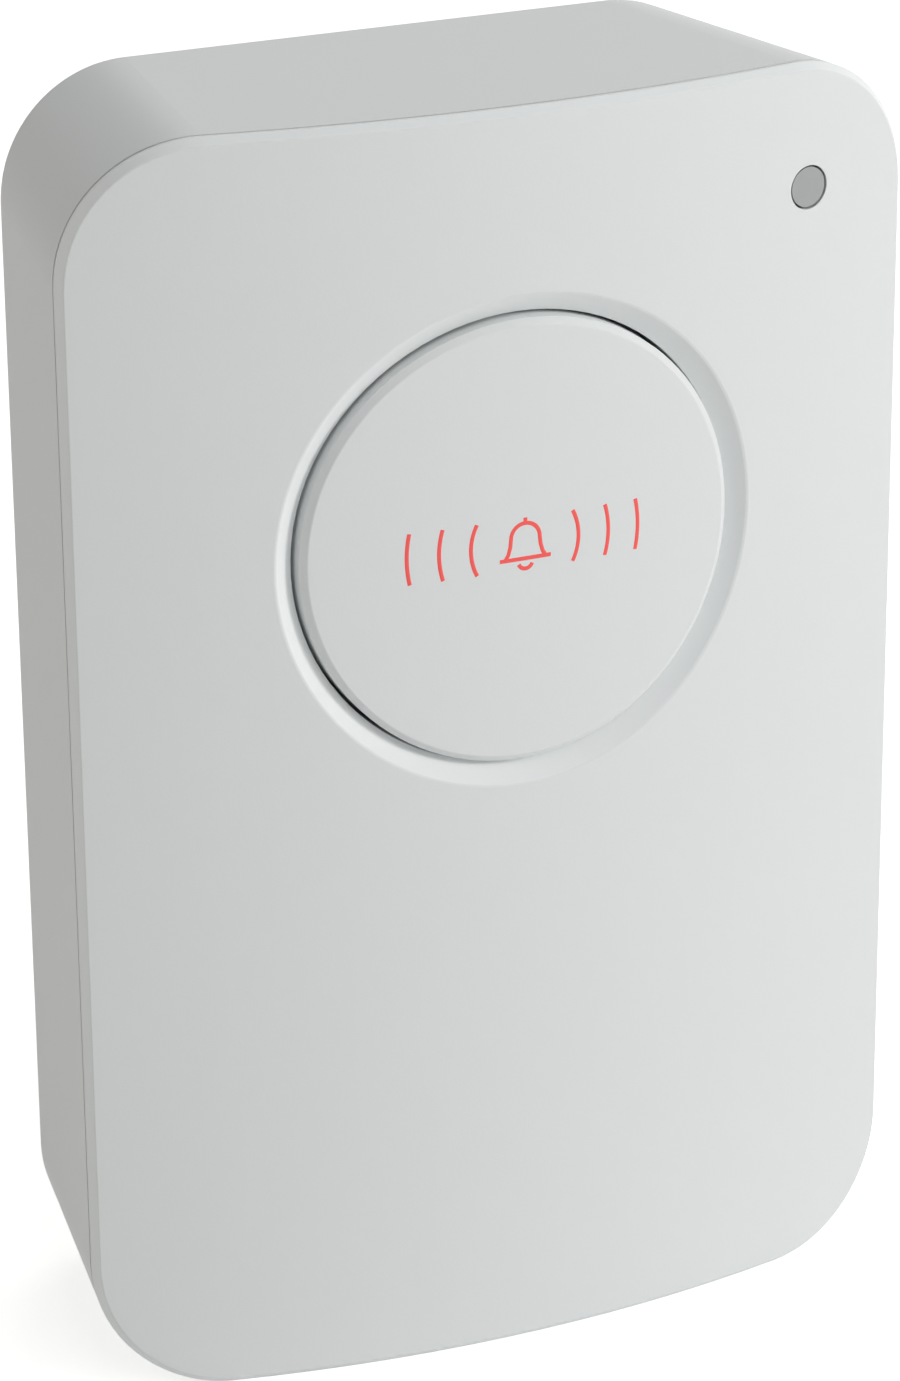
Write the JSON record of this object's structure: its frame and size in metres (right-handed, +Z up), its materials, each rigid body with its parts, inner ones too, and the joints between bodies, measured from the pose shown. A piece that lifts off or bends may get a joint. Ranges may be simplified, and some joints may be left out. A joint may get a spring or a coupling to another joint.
{
  "type": "wireless panic button",
  "caption": "Palm-sized alarm push button in a crowned matte case with a dished round button, a small status light and a slide-on wall plate.",
  "frame": {"origin": "under the middle of the case, on the surface it stands on", "axes": "+Z up the case, -Y out of the crowned front, +Y towards the wall plate, +X to the right as seen from the front"},
  "size_m": [0.0418, 0.0182, 0.0618],
  "materials": {
    "case_plastic": "fine matte texture",
    "button_plastic": "fine matte texture",
    "silicone": "translucent matte",
    "pipe_plastic": "smooth clear plastic",
    "switch_plastic": "moulded",
    "contact_steel": "tinned",
    "board_laminate": "solder mask",
    "chip_resin": "moulded",
    "chip_ceramic": "fired",
    "led_resin": "clear resin",
    "antenna_wire": "tinned copper",
    "holder_plastic": "moulded",
    "cell_steel": "bright",
    "screw_steel": "zinc plated",
    "plate_plastic": "fine matte texture"
  },
  "bodies": {
    "case": {"front_cover": "case_plastic", "rear_housing": "case_plastic", "return_ring": "silicone", "light_pipe": "pipe_plastic", "switch_base": "switch_plastic", "switch_cover": "contact_steel", "switch_dome": "contact_steel", "switch_terminals": "contact_steel", "circuit_board": "board_laminate", "microcontroller": "chip_resin", "radio_chip": "chip_resin", "crystal": "contact_steel", "chip_parts": "chip_ceramic", "status_led": "led_resin", "antenna": "antenna_wire", "battery_holder": "holder_plastic", "contact_positive": "contact_steel", "contact_negative": "contact_steel", "coin_cell": "cell_steel", "housing_screws": "screw_steel"},
    "button": {"button_cap": "button_plastic"},
    "plunger": {"switch_plunger": "switch_plastic"},
    "plate": {"wall_plate": "plate_plastic"}
  },
  "joints": [
    {"name": "button_press", "type": "slide", "parent": "case", "child": "button", "axis": [0, 1, 0], "range_m": [0, 0.0007], "stiffness_N_per_m": 1500, "springref_m": -0.001, "deforming": ["return_ring"]},
    {"name": "plunger_press", "type": "slide", "parent": "case", "child": "plunger", "axis": [0, 1, 0], "range_m": [0, 0.0007], "deforming": ["switch_dome"]},
    {"name": "plate_slide", "type": "slide", "parent": "case", "child": "plate", "axis": [0, 0, -1], "range_m": [0, 0.006]}
  ],
  "couplings": [
    {"joint": "plunger_press", "follows": "button_press", "ratio": 1}
  ]
}
